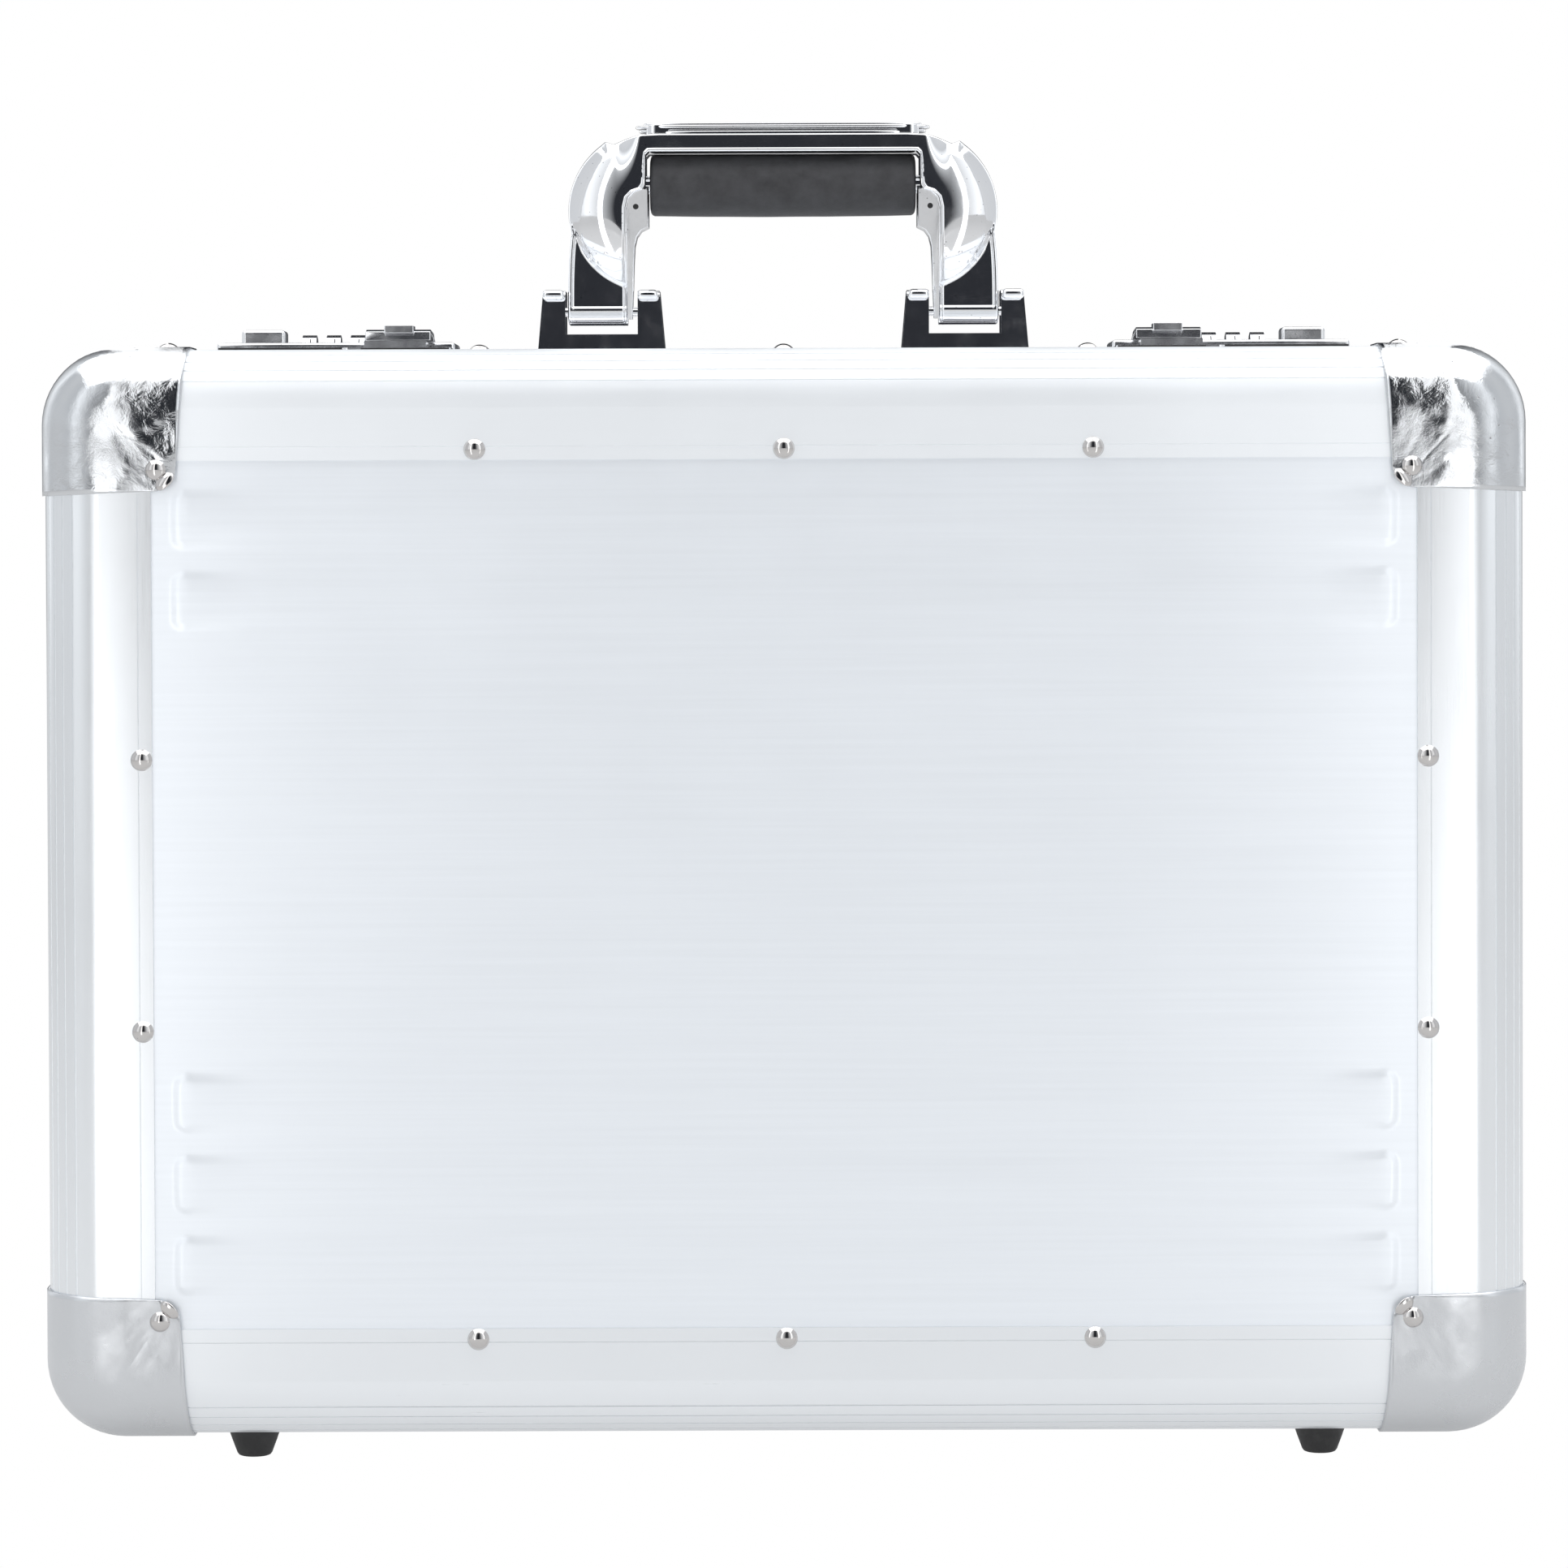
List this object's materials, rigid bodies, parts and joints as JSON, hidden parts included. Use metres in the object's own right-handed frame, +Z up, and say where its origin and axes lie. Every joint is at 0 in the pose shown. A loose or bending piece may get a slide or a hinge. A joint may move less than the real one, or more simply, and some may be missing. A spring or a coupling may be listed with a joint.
{
  "type": "attache case",
  "caption": "Rigid ribbed aluminium attache case with plated corners, a sprung pair of combination locks, a folding top handle and a lid hinged along its bottom edge.",
  "frame": {"origin": "on the ground under the middle of the case, as it stands on its feet", "axes": "+X along the case, +Z up towards the handle, lid half in front towards -Y"},
  "size_m": [0.4656, 0.156, 0.4218],
  "materials": {
    "panel_aluminium": "brushed",
    "edge_aluminium": "satin anodised, grooved",
    "rim_aluminium": "satin anodised",
    "corner_steel": "plated, lightly pitted",
    "rivet_steel": "polished",
    "foot_rubber": "matte",
    "lining_fabric": "woven",
    "organiser_leather": "fine grain",
    "hinge_steel": "plated",
    "stay_steel": "plated",
    "grip_leather": "matte grain",
    "handle_chrome": "polished",
    "pin_steel": "bright",
    "dial_chrome": "satin",
    "lock_chrome": "polished"
  },
  "bodies": {
    "base": {"base_corner_bottom_left": "corner_steel", "base_corner_bottom_right": "corner_steel", "base_corner_top_left": "corner_steel", "base_corner_top_right": "corner_steel", "base_edge_bottom": "edge_aluminium", "base_edge_left": "edge_aluminium", "base_edge_right": "edge_aluminium", "base_edge_top": "edge_aluminium", "base_face_panel": "panel_aluminium", "base_feet": "foot_rubber", "base_hinge_rivets": "rivet_steel", "base_lining": "lining_fabric", "base_rim_frame": "rim_aluminium", "base_rivets": "rivet_steel", "base_side_panels": "panel_aluminium", "base_stay_studs": "stay_steel", "hinge_leaf_base": "hinge_steel", "hinge_pin": "hinge_steel", "handle_bracket_left": "handle_chrome", "handle_bracket_right": "handle_chrome", "handle_pivot_pins": "pin_steel", "lock_case_left": "lock_chrome", "lock_case_right": "lock_chrome", "dial_axles": "pin_steel", "hasp_pins": "pin_steel"},
    "lid": {"lid_corner_bottom_left": "corner_steel", "lid_corner_bottom_right": "corner_steel", "lid_corner_top_left": "corner_steel", "lid_corner_top_right": "corner_steel", "lid_edge_bottom": "edge_aluminium", "lid_edge_left": "edge_aluminium", "lid_edge_right": "edge_aluminium", "lid_edge_top": "edge_aluminium", "lid_face_panel": "panel_aluminium", "lid_feet": "foot_rubber", "lid_hinge_rivets": "rivet_steel", "lid_lining": "lining_fabric", "lid_organiser": "organiser_leather", "lid_rim_frame": "rim_aluminium", "lid_rivets": "rivet_steel", "lid_side_panels": "panel_aluminium", "lid_stay_studs": "stay_steel", "hinge_leaf_lid": "hinge_steel", "strike_plate_left": "lock_chrome", "strike_plate_right": "lock_chrome"},
    "handle": {"handle_frame": "handle_chrome", "handle_grip": "grip_leather", "grip_core": "pin_steel"},
    "lid_stay_left": {"lid_stay_left": "stay_steel"},
    "lid_stay_right": {"lid_stay_right": "stay_steel"},
    "hasp_left": {"hasp_left": "lock_chrome"},
    "hasp_right": {"hasp_right": "lock_chrome"},
    "slide_button_left": {"slide_button_left": "lock_chrome"},
    "slide_button_right": {"slide_button_right": "lock_chrome"},
    "dial_left_1": {"dial_left_1": "dial_chrome"},
    "dial_left_2": {"dial_left_2": "dial_chrome"},
    "dial_left_3": {"dial_left_3": "dial_chrome"},
    "dial_right_1": {"dial_right_1": "dial_chrome"},
    "dial_right_2": {"dial_right_2": "dial_chrome"},
    "dial_right_3": {"dial_right_3": "dial_chrome"}
  },
  "joints": [
    {"name": "lid_hinge", "type": "hinge", "parent": "base", "child": "lid", "pos_m": [0, -0.015, 0.0062], "axis": [1, 0, 0], "range_deg": [0, 95]},
    {"name": "lid_stay_left_pivot", "type": "hinge", "parent": "lid", "child": "lid_stay_left", "pos_m": [-0.2195, -0.035, 0.0517], "axis": [1, 0, 0], "range_deg": [-48, 0]},
    {"name": "lid_stay_right_pivot", "type": "hinge", "parent": "lid", "child": "lid_stay_right", "pos_m": [0.2195, -0.035, 0.0517], "axis": [1, 0, 0], "range_deg": [-48, 0]},
    {"name": "handle_swing", "type": "hinge", "parent": "base", "child": "handle", "pos_m": [0, 0.013, 0.3609], "axis": [1, 0, 0], "range_deg": [-85, 85]},
    {"name": "hasp_left_lift", "type": "hinge", "parent": "base", "child": "hasp_left", "pos_m": [-0.12265, 0.003, 0.35], "axis": [-1, 0, 0], "range_deg": [0, 75]},
    {"name": "slide_button_left_slide", "type": "slide", "parent": "base", "child": "slide_button_left", "axis": [-1, 0, 0], "range_m": [0, 0.004], "stiffness_N_per_m": 300},
    {"name": "hasp_right_lift", "type": "hinge", "parent": "base", "child": "hasp_right", "pos_m": [0.12265, 0.003, 0.35], "axis": [-1, 0, 0], "range_deg": [0, 75]},
    {"name": "slide_button_right_slide", "type": "slide", "parent": "base", "child": "slide_button_right", "axis": [1, 0, 0], "range_m": [0, 0.004], "stiffness_N_per_m": 300},
    {"name": "dial_left_1_turn", "type": "hinge", "parent": "base", "child": "dial_left_1", "pos_m": [-0.1374, 0.008, 0.3484], "axis": [1, 0, 0], "continuous": true},
    {"name": "dial_left_2_turn", "type": "hinge", "parent": "base", "child": "dial_left_2", "pos_m": [-0.1452, 0.008, 0.3484], "axis": [1, 0, 0], "continuous": true},
    {"name": "dial_left_3_turn", "type": "hinge", "parent": "base", "child": "dial_left_3", "pos_m": [-0.153, 0.008, 0.3484], "axis": [1, 0, 0], "continuous": true},
    {"name": "dial_right_1_turn", "type": "hinge", "parent": "base", "child": "dial_right_1", "pos_m": [0.1374, 0.008, 0.3484], "axis": [1, 0, 0], "continuous": true},
    {"name": "dial_right_2_turn", "type": "hinge", "parent": "base", "child": "dial_right_2", "pos_m": [0.1452, 0.008, 0.3484], "axis": [1, 0, 0], "continuous": true},
    {"name": "dial_right_3_turn", "type": "hinge", "parent": "base", "child": "dial_right_3", "pos_m": [0.153, 0.008, 0.3484], "axis": [1, 0, 0], "continuous": true}
  ],
  "couplings": [
    {"joint": "lid_stay_left_pivot", "follows": "lid_hinge", "ratio": -0.5},
    {"joint": "lid_stay_right_pivot", "follows": "lid_hinge", "ratio": -0.5}
  ]
}
